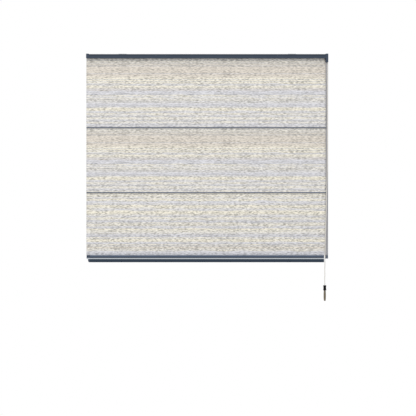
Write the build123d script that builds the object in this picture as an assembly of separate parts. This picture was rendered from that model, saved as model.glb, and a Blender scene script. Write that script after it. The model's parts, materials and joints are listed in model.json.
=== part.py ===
from build123d import *
import math
import os

os.makedirs("parts", exist_ok=True)

# A roman blind, in millimetres: x runs along the rail to the right, y goes back to the wall, z is up.
# The origin is the middle of the four wall screws.

# Whole blind
BLIND_WIDTH = 914.0
OVERRUN = 1.0
LIE_GAP = 0.1
PASS_GAP = 0.3
SHAFT_PLAY = 0.05

# Head rail, an extruded channel that is open at the top
RAIL_HEIGHT = 15.0
RAIL_DEPTH = 48.0
RAIL_WALL = 1.4
RAIL_LIP = 4.0
RAIL_CORNER_R = 1.2
RAIL_ABOVE_SCREWS = 16.0
RAIL_TO_WALL = 2.0
CORD_HOLE_R = 3.0

# Cloth's hem, held by a rod in a groove
CLOTH_SETBACK = 13.1
CLOTH_THICK = 1.2
SPLINE_R = 1.3
HEM_WALL = 1.1
GROOVE_WALL = 1.4

# End caps of the head rail
CAP_WIDTH = 9.5
CAP_PROUD = 2.0
CAP_PLUG = 12.0
CAP_WALL = 2.0

# Wall brackets of bent steel
BRACKET_INSET = 137.0
BRACKET_WIDTH = 30.0
BRACKET_STEEL = 1.6
BRACKET_BEND_R = 2.6
BRACKET_TAIL = 16.0
BRACKET_HOOK_WIDTH = 14.0
SCREW_SPACING = 20.0
SCREW_HOLE_R = 2.25

# Lift cords and the guides that lead them to the lock
CORD_INSET_LEFT = 107.0
CORD_INSET_RIGHT = 157.0
CORD_R = 0.7
CORD_BEHIND_CLOTH = 16.9
CORD_BELOW_TOP = 2.4
CORD_PITCH = 1.8
CORD_TAIL = 4.0

# Guide pulleys
PULLEY_FLANGE_R = 5.4
PULLEY_GROOVE_R = 3.6
PULLEY_WIDTH = 3.4
PULLEY_RIM = 0.5
PULLEY_GROOVE_FLAT = 1.7
PULLEY_PIN_R = 1.5
GUIDE_BASE = 0.9
GUIDE_WIDTH = 11.0
GUIDE_REACH = 4.0
EAR_THICK = 1.4
EAR_R = 2.8

# Cord lock in the right end cap
LOCK_CORD_INSET = 3.5
LOCK_DROP = 14.5
LOCK_SLOT = 8.4
LOCK_FRONT_WALL = 2.9
LOCK_BACK_WALL = 1.7
LOCK_SIDE_WALL = 1.4
LOCK_ROOF = 1.6
ROLLER_R = 2.35
LOCK_PIN_R = 1.0
CAM_R = 2.0
CAM_TOOTH = 0.75
CAM_ABOVE_EXIT = 7.0
CAM_TEETH = 5

# Cloth: three panels between two folds, with the weave's ridges across it
CLOTH_LEFT_MARGIN = 0.5
CLOTH_RIGHT_MARGIN = 11.0
PANEL_TOP = 262.5
PANEL_MIDDLE = 245.7
PANEL_BOTTOM = 236.2
FOLD_DEPTH = 3.0
RIDGE_PITCH = 8.0
RIDGE_HEIGHT = 0.6
RIDGE_SHARES = (1.0, 0.55, 0.8, 0.4, 0.9, 0.65, 0.35)

# Lining, which shows past the face cloth at the right
LINING_THICK = 0.6
LINING_MARGIN = 1.0
LINING_TONGUE = 12.5

# Navy binding along each fold
BINDING_HEIGHT = 2.8
BINDING_THICK = 0.9
BINDING_OVERHANG = 1.0

# Battens in their pockets
POCKET_HEIGHT = 20.0
POCKET_DEPTH = 5.2
POCKET_CLOTH = 0.8
POCKET_INSET = 7.0
BATTEN_INSET = 10.0

# Rings that lead the lift cords
RING_INNER_R = 3.2
RING_WALL = 1.5
RING_HEIGHT = 2.4
RING_FOOT_WIDTH = 12.0
RING_FOOT_HEIGHT = 8.0
RING_FOOT_THICK = 1.2

# Bottom rail
BOTTOM_UPPER_BAND = 9.8
BOTTOM_STRIPE = 4.2
BOTTOM_LOWER_BAND = 12.2
BOTTOM_DEPTH = 14.0
BOTTOM_WALL = 1.4
BOTTOM_CORNER_R = 1.5
BOTTOM_LEFT_MARGIN = 14.0
BOTTOM_RIGHT_MARGIN = 17.5
STRIPE_DEPTH = 1.2
BALLAST_SIZE = 6.0
BALLAST_INSET = 15.0

# End caps of the bottom rail
BOTTOM_CAP_UPPER = 12.5
BOTTOM_CAP_LOWER = 6.8
BOTTOM_CAP_CORNER_R = 6.4
BOTTOM_CAP_RIGHT = 1.8
BOTTOM_CAP_PLUG = 9.0

# Cord anchors on the back of the bottom rail
ANCHOR_WIDTH = 10.0
ANCHOR_THICK = 2.2
ANCHOR_FOOT_HEIGHT = 12.0
ANCHOR_BELOW_TOP = 8.0
ANCHOR_HOLE_R = 1.1
STOP_R = 2.2
STOP_HEIGHT = 4.0

# Pull: cord, joiner and wooden tassel
PULL_CORD_R = 1.7
JOINER_R = 5.8
JOINER_WAIST_R = 4.9
JOINER_HEIGHT = 18.6
JOINER_RIM = 3.0
TASSEL_LENGTH = 39.6
TASSEL_R = 4.4
TASSEL_TOP_R = 3.4
TASSEL_END_R = 3.5
TASSEL_END_ROUND = 1.4
TASSEL_BORE_R = 1.3
TASSEL_POCKET_R = 2.5
TASSEL_POCKET = 7.0
KNOT_CORD_R = 1.0
KNOT_R = 2.0
KNOT_HEIGHT = 4.0

# The pull cord's route, to the right of and down from where it leaves the lock
PULL_ROUTE = (
    (1.1, 151.5),
    (0.9, 311.5),
    (-1.8, 445.5),
    (-5.9, 566.5),
    (-9.1, 672.5),
    (-9.8, 759.5),
    (-9.6, 843.3),
)

# Places that follow from the sizes
RAIL_BOTTOM = RAIL_ABOVE_SCREWS
RAIL_TOP = RAIL_BOTTOM + RAIL_HEIGHT
RAIL_BACK = -RAIL_TO_WALL
RAIL_FRONT = RAIL_BACK - RAIL_DEPTH
RAIL_END = BLIND_WIDTH / 2 - CAP_WIDTH
BRACKET_SPACING = BLIND_WIDTH - 2 * BRACKET_INSET
FLOOR = RAIL_BOTTOM + RAIL_WALL
LIP_UNDER = RAIL_TOP - RAIL_WALL
CLOTH_Y = RAIL_FRONT + CLOTH_SETBACK
CLOTH_FRONT = CLOTH_Y - CLOTH_THICK / 2
CLOTH_BACK = CLOTH_Y + CLOTH_THICK / 2
HEM_R = SPLINE_R + SHAFT_PLAY + HEM_WALL
GROOVE_R = HEM_R + PASS_GAP
SLOT_WIDTH = CLOTH_THICK + 2 * PASS_GAP
GROOVE_Z = FLOOR + GROOVE_R
BOSS_HALF = GROOVE_R + GROOVE_WALL
CORD_PLACES = {
    "left": CORD_INSET_LEFT - BLIND_WIDTH / 2,
    "middle": 0,
    "right": BLIND_WIDTH / 2 - CORD_INSET_RIGHT,
}
CORD_Y = CLOTH_Y + CORD_BEHIND_CLOTH
CORD_RUN_Z = RAIL_TOP - CORD_BELOW_TOP
PULLEY_CORD_R = PULLEY_GROOVE_R + PASS_GAP + CORD_R
PULLEY_Z = CORD_RUN_Z - PULLEY_CORD_R
EAR_INSIDE = PULLEY_WIDTH / 2 + PASS_GAP
EAR_OUTSIDE = EAR_INSIDE + EAR_THICK
LOCK_X = BLIND_WIDTH / 2 - LOCK_CORD_INSET
LOCK_Y = RAIL_FRONT + LOCK_FRONT_WALL + LOCK_SLOT / 2
LOCK_BOTTOM = RAIL_BOTTOM - LOCK_DROP
LOCK_BACK = LOCK_Y + LOCK_SLOT / 2 + LOCK_BACK_WALL
ROLLER_CORD_R = ROLLER_R + SHAFT_PLAY + CORD_R
ROLLER_X = LOCK_X - ROLLER_CORD_R
ROLLER_Z = CORD_RUN_Z - ROLLER_CORD_R
CAM_X = LOCK_X - CORD_R - PASS_GAP / 2 - CAM_R - CAM_TOOTH
CAM_Z = LOCK_BOTTOM + CAM_ABOVE_EXIT
FOLD_UPPER = RAIL_BOTTOM - PANEL_TOP
FOLD_LOWER = FOLD_UPPER - PANEL_MIDDLE
BOTTOM_TOP = FOLD_LOWER - PANEL_BOTTOM
BOTTOM_HEIGHT = BOTTOM_UPPER_BAND + BOTTOM_STRIPE + BOTTOM_LOWER_BAND
BOTTOM_END = BOTTOM_TOP - BOTTOM_HEIGHT
BOTTOM_FRONT = CLOTH_Y - BOTTOM_DEPTH / 2
BOTTOM_BACK = CLOTH_Y + BOTTOM_DEPTH / 2
BOTTOM_LEFT = BOTTOM_LEFT_MARGIN - BLIND_WIDTH / 2
BOTTOM_RIGHT = BLIND_WIDTH / 2 - BOTTOM_RIGHT_MARGIN
STRIPE_TOP = BOTTOM_TOP - BOTTOM_UPPER_BAND
STRIPE_END = STRIPE_TOP - BOTTOM_STRIPE
BOTTOM_GROOVE_Z = BOTTOM_TOP - BOTTOM_WALL - GROOVE_R
CLOTH_LEFT = CLOTH_LEFT_MARGIN - BLIND_WIDTH / 2
CLOTH_RIGHT = BLIND_WIDTH / 2 - CLOTH_RIGHT_MARGIN
HEM_LEFT = PASS_GAP - RAIL_END
BOTTOM_HEM_LEFT = BOTTOM_LEFT + PASS_GAP
BOTTOM_HEM_RIGHT = BOTTOM_RIGHT - PASS_GAP
LINING_FRONT = CLOTH_BACK + LIE_GAP
LINING_BACK = LINING_FRONT + LINING_THICK
POCKET_FRONT = LINING_BACK + LIE_GAP
POCKET_BACK = POCKET_FRONT + POCKET_DEPTH
ANCHOR_Z = BOTTOM_TOP - ANCHOR_BELOW_TOP
JOINER_TOP = LOCK_BOTTOM - PULL_ROUTE[-1][1]
JOINER_X = LOCK_X + PULL_ROUTE[-1][0]
JOINER_END = JOINER_TOP - JOINER_HEIGHT


def rect(u0, u1, v0, v1):
    return Pos((u0 + u1) / 2, (v0 + v1) / 2) * Rectangle(u1 - u0, v1 - v0)


def along_x(sketch, x0, x1):
    return extrude(Plane.YZ.offset(x0) * sketch, amount=x1 - x0)


def along_y(sketch, y0, y1):
    return extrude(Plane.XZ.offset(-y1) * sketch, amount=y1 - y0)


def block(x0, x1, y0, y1, z0, z1):
    return Pos((x0 + x1) / 2, (y0 + y1) / 2, (z0 + z1) / 2) * Box(x1 - x0, y1 - y0, z1 - z0)


def rod_y(x, z, r, y0, y1):
    return Pos(x, (y0 + y1) / 2, z) * Rot(90, 0, 0) * Cylinder(r, y1 - y0)


def rod_z(x, y, r, z0, z1):
    return Pos(x, y, (z0 + z1) / 2) * Cylinder(r, z1 - z0)


def turned(points):
    # A piece turned about z, from its (radius, height) outline
    return revolve(Plane.XZ * make_face(Polyline(*points, close=True)), Axis.Z)


# Head rail and its end caps


def head_rail():
    outer = Pos((RAIL_FRONT + RAIL_BACK) / 2, (RAIL_BOTTOM + RAIL_TOP) / 2)
    outer = outer * RectangleRounded(RAIL_DEPTH, RAIL_HEIGHT, RAIL_CORNER_R)
    inner_front = RAIL_FRONT + RAIL_WALL
    inner_back = RAIL_BACK - RAIL_WALL
    hollow = rect(inner_front, inner_back, FLOOR, LIP_UNDER)
    mouth = rect(inner_front + RAIL_LIP, inner_back - RAIL_LIP, FLOOR, RAIL_TOP + OVERRUN)
    boss = rect(CLOTH_Y - BOSS_HALF, CLOTH_Y + BOSS_HALF, RAIL_BOTTOM, GROOVE_Z + BOSS_HALF)
    groove = Pos(CLOTH_Y, GROOVE_Z) * Circle(GROOVE_R)
    slot = rect(CLOTH_Y - SLOT_WIDTH / 2, CLOTH_Y + SLOT_WIDTH / 2, RAIL_BOTTOM - OVERRUN, GROOVE_Z)
    rail = along_x(outer - hollow - mouth + boss - groove - slot, -RAIL_END, RAIL_END)
    for x in CORD_PLACES.values():
        rail -= rod_z(x, CORD_Y, CORD_HOLE_R, RAIL_BOTTOM - OVERRUN, FLOOR + OVERRUN)
    return rail


def cap_plug():
    # The hollow plug behind the cloth's groove, as a YZ outline and its core
    outer = rect(
        CLOTH_Y + BOSS_HALF + PASS_GAP,
        RAIL_BACK - RAIL_WALL - LIE_GAP,
        FLOOR + LIE_GAP,
        LIP_UNDER - LIE_GAP,
    )
    core = rect(
        CLOTH_Y + BOSS_HALF + PASS_GAP + CAP_WALL,
        RAIL_BACK - RAIL_WALL - LIE_GAP - CAP_WALL,
        FLOOR + LIE_GAP + CAP_WALL,
        LIP_UNDER - LIE_GAP - CAP_WALL,
    )
    return outer - core


def cap_face():
    middle = Pos((RAIL_FRONT + RAIL_BACK) / 2, (RAIL_BOTTOM + RAIL_TOP + CAP_PROUD) / 2)
    return middle * RectangleRounded(RAIL_DEPTH, RAIL_HEIGHT + CAP_PROUD, RAIL_CORNER_R)


def left_end_cap():
    face = along_x(cap_face(), -RAIL_END - CAP_WIDTH, -RAIL_END)
    return face + along_x(cap_plug(), -RAIL_END - LIE_GAP, -RAIL_END + CAP_PLUG)


def cord_lock_housing():
    end = RAIL_END + CAP_WIDTH
    face = along_x(cap_face(), RAIL_END, end)
    plug = along_x(cap_plug(), RAIL_END - CAP_PLUG, RAIL_END + LIE_GAP)
    tab = along_x(rect(RAIL_FRONT, LOCK_BACK, LOCK_BOTTOM, RAIL_BOTTOM + RAIL_CORNER_R), RAIL_END, end)
    bottom_edges = tab.edges().filter_by(Axis.Y).sort_by(Axis.Z)[:2]
    tab = fillet(bottom_edges.sort_by(Axis.X)[-1], RAIL_CORNER_R)
    slot = block(
        RAIL_END - OVERRUN,
        end - LOCK_SIDE_WALL,
        LOCK_Y - LOCK_SLOT / 2,
        LOCK_Y + LOCK_SLOT / 2,
        LOCK_BOTTOM - OVERRUN,
        RAIL_TOP + CAP_PROUD - LOCK_ROOF,
    )
    pin_from, pin_to = lock_pin_reach()
    hole = LOCK_PIN_R + SHAFT_PLAY
    holes = rod_y(ROLLER_X, ROLLER_Z, hole, pin_from, pin_to) + rod_y(CAM_X, CAM_Z, hole, pin_from, pin_to)
    return face + plug + tab - slot - holes


# Cord lock


def lock_pin_reach():
    return RAIL_FRONT + LOCK_FRONT_WALL / 2, LOCK_BACK + OVERRUN


def lock_pin(x, z):
    pin_from, pin_to = lock_pin_reach()
    return rod_y(x, z, LOCK_PIN_R, pin_from + LIE_GAP, LOCK_BACK - LIE_GAP)


def lock_roller():
    start, end = LOCK_Y - LOCK_SLOT / 2 + PASS_GAP, LOCK_Y + LOCK_SLOT / 2 - PASS_GAP
    bore = rod_y(ROLLER_X, ROLLER_Z, LOCK_PIN_R + SHAFT_PLAY, start - OVERRUN, end + OVERRUN)
    return rod_y(ROLLER_X, ROLLER_Z, ROLLER_R, start, end) - bore


def lock_cam():
    # A drum whose toothed side grows towards the cords
    start, end = LOCK_Y - LOCK_SLOT / 2 + PASS_GAP, LOCK_Y + LOCK_SLOT / 2 - PASS_GAP
    tooth_share, step = 1 / CAM_TEETH, math.radians(60 / CAM_TEETH)
    points = [(0, 0)]
    for i in range(CAM_TEETH):
        reach = CAM_R + CAM_TOOTH * (i + 1) * tooth_share
        low, high = -(CAM_TEETH - 1 - i) * step - step, -(CAM_TEETH - 1 - i) * step
        points.append((CAM_R * math.cos(low), CAM_R * math.sin(low)))
        points.append((reach * math.cos(high), reach * math.sin(high)))
    outline = Circle(CAM_R) + make_face(Polyline(*points, close=True))
    cam = along_y(Pos(CAM_X, CAM_Z) * outline, start, end)
    return cam - rod_y(CAM_X, CAM_Z, LOCK_PIN_R + SHAFT_PLAY, start - OVERRUN, end + OVERRUN)


# Wall brackets


def mounting_bracket(x):
    top = RAIL_TOP + PASS_GAP
    steel = BRACKET_STEEL
    hook_front = RAIL_FRONT + RAIL_WALL + RAIL_LIP + PASS_GAP
    tongue_back = RAIL_BACK - RAIL_WALL - RAIL_LIP - PASS_GAP
    hook_top = LIP_UNDER - PASS_GAP
    half = BRACKET_WIDTH / 2
    angle = rect(-steel, 0, -BRACKET_TAIL, top + steel) + rect(hook_front, 0, top, top + steel)
    angle = along_x(angle, x - half, x + half)
    outer_edge = angle.edges().filter_by(Axis.X).sort_by(Axis.Z)[-2:].sort_by(Axis.Y)[-1]
    angle = fillet(outer_edge, BRACKET_BEND_R)
    hook = rect(hook_front, hook_front + steel, hook_top - steel, top + steel)
    hook += rect(RAIL_FRONT + RAIL_WALL + PASS_GAP, hook_front + steel, hook_top - steel, hook_top)
    tongue = rect(tongue_back - steel, tongue_back, hook_top - steel, top + steel)
    tongue += rect(tongue_back - steel, RAIL_BACK - RAIL_WALL - PASS_GAP, hook_top - steel, hook_top)
    hook_half = BRACKET_HOOK_WIDTH / 2
    bracket = angle + along_x(hook + tongue, x - hook_half, x + hook_half)
    for z in (-SCREW_SPACING / 2, SCREW_SPACING / 2):
        bracket -= rod_y(x, z, SCREW_HOLE_R, -steel - OVERRUN, OVERRUN)
    return bracket


# Guides, pulleys and lift cords


def lock_cord_y(side):
    order = list(CORD_PLACES).index(side)
    return LOCK_Y + (order - 1) * CORD_PITCH


def run_angle(side):
    return math.degrees(math.atan2(lock_cord_y(side) - CORD_Y, LOCK_X - CORD_PLACES[side]))


def at_guide(side):
    # A guide's own x axis points along its cord's run to the lock
    return Pos(CORD_PLACES[side], CORD_Y, 0) * Rot(0, 0, run_angle(side))


def cord_guide():
    length = PULLEY_CORD_R + PULLEY_FLANGE_R + GUIDE_REACH
    back = CORD_HOLE_R + GUIDE_BASE
    half = GUIDE_WIDTH / 2
    base = block(-back, length - back, -half, half, FLOOR, FLOOR + GUIDE_BASE)
    base = fillet(base.edges().filter_by(Axis.Z), GUIDE_BASE)
    base -= rod_z(0, 0, CORD_HOLE_R, FLOOR - OVERRUN, FLOOR + GUIDE_BASE + OVERRUN)
    ear = rect(PULLEY_CORD_R - EAR_R, PULLEY_CORD_R + EAR_R, FLOOR, PULLEY_Z)
    ear += Pos(PULLEY_CORD_R, PULLEY_Z) * Circle(EAR_R)
    ear -= Pos(PULLEY_CORD_R, PULLEY_Z) * Circle(PULLEY_PIN_R + SHAFT_PLAY)
    return base + along_y(ear, -EAR_OUTSIDE, -EAR_INSIDE) + along_y(ear, EAR_INSIDE, EAR_OUTSIDE)


def pulley():
    half, bore = PULLEY_WIDTH / 2, PULLEY_PIN_R + SHAFT_PLAY
    wheel = turned(
        [
            (bore, -half),
            (PULLEY_FLANGE_R, -half),
            (PULLEY_FLANGE_R, PULLEY_RIM - half),
            (PULLEY_GROOVE_R, -PULLEY_GROOVE_FLAT / 2),
            (PULLEY_GROOVE_R, PULLEY_GROOVE_FLAT / 2),
            (PULLEY_FLANGE_R, half - PULLEY_RIM),
            (PULLEY_FLANGE_R, half),
            (bore, half),
        ]
    )
    return Pos(PULLEY_CORD_R, 0, PULLEY_Z) * Rot(90, 0, 0) * wheel


def pulley_pin():
    return rod_y(PULLEY_CORD_R, PULLEY_Z, PULLEY_PIN_R, -EAR_OUTSIDE, EAR_OUTSIDE)


def cord_tube(points, radii, radius):
    path = FilletPolyline(*points, radius=radii)
    start = Plane(path @ 0, z_dir=path % 0)
    return sweep(start * Circle(radius), path=path), path.length


def lift_cord(side):
    x, y = CORD_PLACES[side], lock_cord_y(side)
    points = [
        (x, CORD_Y, ANCHOR_Z - ANCHOR_THICK - STOP_HEIGHT - CORD_TAIL),
        (x, CORD_Y, CORD_RUN_Z),
        (LOCK_X, y, CORD_RUN_Z),
        (LOCK_X, y, LOCK_BOTTOM),
    ]
    tube, length = cord_tube(points, [PULLEY_CORD_R, ROLLER_CORD_R], CORD_R)
    print(f"lift_cord_{side}: {length:.0f} mm long, radii {PULLEY_CORD_R:.1f} and {ROLLER_CORD_R:.1f}")
    return tube


# Cloth, lining and folds


def ridged_edge(start, end):
    # The weave's ridges from start down to end, each an arc that stands forward of the cloth
    length = math.dist(start, end)
    count = round(length / RIDGE_PITCH)
    edges = []
    for i in range(count):
        a, b = i / count, (i + 1) / count
        p = [s + (e - s) * a for s, e in zip(start, end)]
        q = [s + (e - s) * b for s, e in zip(start, end)]
        height = RIDGE_HEIGHT * RIDGE_SHARES[i % len(RIDGE_SHARES)]
        crest = ((p[0] + q[0]) / 2 - height, (p[1] + q[1]) / 2)
        edges.append(ThreePointArc(tuple(p), crest, tuple(q)))
    return edges


def hem(z):
    return Pos(CLOTH_Y, z) * (Circle(HEM_R) - Circle(SPLINE_R + SHAFT_PLAY))


def face_fabric():
    front, back = CLOTH_FRONT, CLOTH_BACK
    nose_front, nose_back = front - FOLD_DEPTH, back - FOLD_DEPTH
    top = GROOVE_Z - (HEM_R + SPLINE_R) / 2
    bottom = BOTTOM_GROOVE_Z + (HEM_R + SPLINE_R) / 2
    edges = [Line((front, top), (front, RAIL_BOTTOM))]
    start = RAIL_BOTTOM
    for fold in (FOLD_UPPER, FOLD_LOWER):
        above = fold + BINDING_HEIGHT
        edges += ridged_edge((front, start), (nose_front, above))
        edges += [Line((nose_front, above), (nose_front, fold)), Line((nose_front, fold), (front, fold))]
        edges.append(Line((front, fold), (front, fold - BINDING_HEIGHT)))
        start = fold - BINDING_HEIGHT
    edges += ridged_edge((front, start), (front, BOTTOM_TOP))
    corners = [(front, BOTTOM_TOP), (front, bottom), (back, bottom)]
    for fold, z in ((FOLD_LOWER, FOLD_UPPER), (FOLD_UPPER, RAIL_BOTTOM)):
        ledge = fold + CLOTH_THICK
        corners += [(back, ledge), (nose_back, ledge), (nose_back, fold + BINDING_HEIGHT), (back, z)]
    corners += [(back, top), (front, top)]
    edges += [Line(a, b) for a, b in zip(corners, corners[1:])]
    cloth = along_x(make_face(edges) + hem(GROOVE_Z) + hem(BOTTOM_GROOVE_Z), CLOTH_LEFT, CLOTH_RIGHT)
    past_left, past_right = CLOTH_LEFT - OVERRUN, CLOTH_RIGHT + OVERRUN
    top_notch = RAIL_BOTTOM - PASS_GAP, RAIL_TOP
    bottom_notch = BOTTOM_END, BOTTOM_TOP + PASS_GAP
    cloth -= block(past_left, HEM_LEFT, RAIL_FRONT, RAIL_BACK, *top_notch)
    cloth -= block(past_left, BOTTOM_HEM_LEFT, RAIL_FRONT, RAIL_BACK, *bottom_notch)
    return cloth - block(BOTTOM_HEM_RIGHT, past_right, RAIL_FRONT, RAIL_BACK, *bottom_notch)


def spline(z, start, end):
    return along_x(Pos(CLOTH_Y, z) * Circle(SPLINE_R), start, end)


def lining():
    left, right = LINING_MARGIN - BLIND_WIDTH / 2, BLIND_WIDTH / 2
    top, bottom = RAIL_BOTTOM - PASS_GAP, BOTTOM_TOP + PASS_GAP
    sheet = rect(left, right, bottom, top)
    sheet += rect(CLOTH_RIGHT, right, BOTTOM_TOP - LINING_TONGUE, top)
    return along_y(sheet, LINING_FRONT, LINING_BACK)


def fold_binding(fold):
    nose = CLOTH_FRONT - FOLD_DEPTH - LIE_GAP
    under = fold - LIE_GAP
    strip = rect(nose - BINDING_THICK, nose, under - BINDING_THICK, fold + BINDING_HEIGHT)
    strip += rect(nose - BINDING_THICK, CLOTH_FRONT - PASS_GAP, under - BINDING_THICK, under)
    return along_x(strip, CLOTH_LEFT, CLOTH_RIGHT + BINDING_OVERHANG)


def rod_pocket(fold):
    half = POCKET_HEIGHT / 2
    tube = rect(POCKET_FRONT, POCKET_BACK, fold - half, fold + half)
    tube -= rect(
        POCKET_FRONT + POCKET_CLOTH,
        POCKET_BACK - POCKET_CLOTH,
        fold - half + POCKET_CLOTH,
        fold + half - POCKET_CLOTH,
    )
    return along_x(tube, CLOTH_LEFT + POCKET_INSET, CLOTH_RIGHT - POCKET_INSET)


def batten(fold):
    middle = (POCKET_FRONT + POCKET_BACK) / 2
    depth = POCKET_DEPTH - 2 * POCKET_CLOTH - 2 * PASS_GAP
    height = POCKET_HEIGHT - 2 * POCKET_CLOTH - 2 * PASS_GAP
    section = Pos(middle, fold) * RectangleRounded(depth, height, depth / 3)
    return along_x(section, CLOTH_LEFT + BATTEN_INSET, CLOTH_RIGHT - BATTEN_INSET)


def cord_ring(x, fold):
    half = RING_FOOT_WIDTH / 2
    outer = RING_INNER_R + RING_WALL
    foot = block(
        x - half,
        x + half,
        POCKET_BACK,
        POCKET_BACK + RING_FOOT_THICK,
        fold - RING_FOOT_HEIGHT / 2,
        fold + RING_FOOT_HEIGHT / 2,
    )
    low, high = fold - RING_HEIGHT / 2, fold + RING_HEIGHT / 2
    stem = block(x - RING_WALL, x + RING_WALL, POCKET_BACK, CORD_Y - RING_INNER_R, low, high)
    eye = rod_z(x, CORD_Y, outer, low, high)
    return foot + stem + eye - rod_z(x, CORD_Y, RING_INNER_R, low - OVERRUN, high + OVERRUN)


def cord_rings(fold):
    return Compound(children=[cord_ring(x, fold) for x in CORD_PLACES.values()])


# Bottom rail


def bottom_section():
    middle = Pos(CLOTH_Y, (BOTTOM_TOP + BOTTOM_END) / 2)
    outer = middle * RectangleRounded(BOTTOM_DEPTH, BOTTOM_HEIGHT, BOTTOM_CORNER_R)
    stripe = rect(BOTTOM_FRONT - OVERRUN, BOTTOM_FRONT + STRIPE_DEPTH, STRIPE_END, STRIPE_TOP)
    return outer - stripe


def bottom_core():
    # The hollow below the cloth's groove, clear of the stripe's groove
    front = BOTTOM_FRONT + STRIPE_DEPTH + BOTTOM_WALL
    back, low = BOTTOM_BACK - BOTTOM_WALL, BOTTOM_END + BOTTOM_WALL
    return rect(front, back, low, BOTTOM_GROOVE_Z - BOSS_HALF)


def bottom_rail():
    groove = Pos(CLOTH_Y, BOTTOM_GROOVE_Z) * Circle(GROOVE_R)
    half = SLOT_WIDTH / 2
    slot = rect(CLOTH_Y - half, CLOTH_Y + half, BOTTOM_GROOVE_Z, BOTTOM_TOP + OVERRUN)
    section = bottom_section() - bottom_core() - groove - slot
    return along_x(section, BOTTOM_LEFT, BOTTOM_RIGHT)


def bottom_plug(start, end):
    core = bottom_core()
    inner = offset(core, -LIE_GAP, kind=Kind.INTERSECTION)
    return along_x(inner, start, end)


def bottom_cap_left():
    outer, inner = BOTTOM_LEFT - BOTTOM_CAP_UPPER, BOTTOM_LEFT - BOTTOM_CAP_LOWER
    shape = rect(outer, BOTTOM_LEFT, STRIPE_END, BOTTOM_TOP)
    lower = rect(inner, BOTTOM_LEFT, BOTTOM_END, STRIPE_END)
    corner = lower.vertices().sort_by(Axis.Y)[:2].sort_by(Axis.X)[0]
    shape += fillet(corner, BOTTOM_CAP_CORNER_R)
    cap = along_y(shape, BOTTOM_FRONT, BOTTOM_BACK)
    cap &= along_x(bottom_section(), outer, BOTTOM_LEFT)
    return cap + bottom_plug(BOTTOM_LEFT - LIE_GAP, BOTTOM_LEFT + BOTTOM_CAP_PLUG)


def bottom_cap_right():
    cap = along_x(bottom_section(), BOTTOM_RIGHT, BOTTOM_RIGHT + BOTTOM_CAP_RIGHT)
    return cap + bottom_plug(BOTTOM_RIGHT - BOTTOM_CAP_PLUG, BOTTOM_RIGHT + LIE_GAP)


def rail_stripe():
    strip = rect(BOTTOM_FRONT, BOTTOM_FRONT + STRIPE_DEPTH, STRIPE_END + LIE_GAP, STRIPE_TOP - LIE_GAP)
    return along_x(strip, BOTTOM_LEFT - BOTTOM_CAP_UPPER, BOTTOM_RIGHT + BOTTOM_CAP_RIGHT)


def ballast_bar():
    front = BOTTOM_FRONT + STRIPE_DEPTH + BOTTOM_WALL + PASS_GAP
    low = BOTTOM_END + BOTTOM_WALL + LIE_GAP
    bar = rect(front, front + BALLAST_SIZE, low, low + BALLAST_SIZE)
    return along_x(bar, BOTTOM_LEFT + BALLAST_INSET, BOTTOM_RIGHT - BALLAST_INSET)


def cord_anchor(x):
    half = ANCHOR_WIDTH / 2
    top, low = ANCHOR_Z, ANCHOR_Z - ANCHOR_THICK
    foot = block(x - half, x + half, BOTTOM_BACK, BOTTOM_BACK + ANCHOR_THICK, top - ANCHOR_FOOT_HEIGHT, top)
    arm = block(x - half, x + half, BOTTOM_BACK, CORD_Y, low, top) + rod_z(x, CORD_Y, half, low, top)
    return foot + arm - rod_z(x, CORD_Y, ANCHOR_HOLE_R, low - OVERRUN, top + OVERRUN)


def cord_anchors():
    return Compound(children=[cord_anchor(x) for x in CORD_PLACES.values()])


def cord_stop(x):
    top = ANCHOR_Z - ANCHOR_THICK - LIE_GAP
    bead = rod_z(x, CORD_Y, STOP_R, top - STOP_HEIGHT, top)
    return bead - rod_z(x, CORD_Y, CORD_R + LIE_GAP, top - STOP_HEIGHT - OVERRUN, top + OVERRUN)


def cord_stops():
    return Compound(children=[cord_stop(x) for x in CORD_PLACES.values()])


# Pull side


def pull_cord():
    exit_point = Vector(LOCK_X, LOCK_Y, LOCK_BOTTOM)
    points = [exit_point] + [exit_point + Vector(right, 0, -down) for right, down in PULL_ROUTE]
    radii = []
    for a, b, c in zip(points, points[1:], points[2:]):
        turn = math.radians((b - a).get_angle(c - b))
        radii.append(0.45 * min((b - a).length, (c - b).length) / math.tan(turn / 2))
    tube, length = cord_tube(points, radii, PULL_CORD_R)
    print(f"pull_cord: {length:.0f} mm long, radii {[round(r) for r in radii]}")
    print(f"pull_cord volume share: {tube.volume / (math.pi * PULL_CORD_R**2 * length):.4f}")
    return tube


def on_pull(piece):
    return Pos(JOINER_X, LOCK_Y, 0) * piece


def joiner_half(z_rim, z_waist):
    # One cone of the joiner, with its rim outwards and the cords' bore through it
    rim_end = z_rim + math.copysign(JOINER_RIM, z_waist - z_rim)
    bore = KNOT_CORD_R + LIE_GAP
    return on_pull(
        turned(
            [
                (bore, z_rim),
                (JOINER_R, z_rim),
                (JOINER_R, rim_end),
                (JOINER_WAIST_R, z_waist),
                (bore, z_waist),
            ]
        )
    )


def tassel():
    top, end = JOINER_END, JOINER_END - TASSEL_LENGTH
    belly = (TASSEL_R, (top + end) / 2)
    outline = [
        Line((TASSEL_BORE_R, top), (TASSEL_TOP_R, top)),
        ThreePointArc((TASSEL_TOP_R, top), belly, (TASSEL_END_R, end + TASSEL_END_ROUND)),
    ]
    inner = [
        (TASSEL_END_R, end + TASSEL_END_ROUND),
        (TASSEL_END_R - TASSEL_END_ROUND / 2, end),
        (TASSEL_POCKET_R, end),
        (TASSEL_POCKET_R, end + TASSEL_POCKET),
        (TASSEL_BORE_R, end + TASSEL_POCKET),
        (TASSEL_BORE_R, top),
    ]
    outline += [Line(a, b) for a, b in zip(inner, inner[1:])]
    return on_pull(revolve(Plane.XZ * make_face(outline), Axis.Z))


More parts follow.
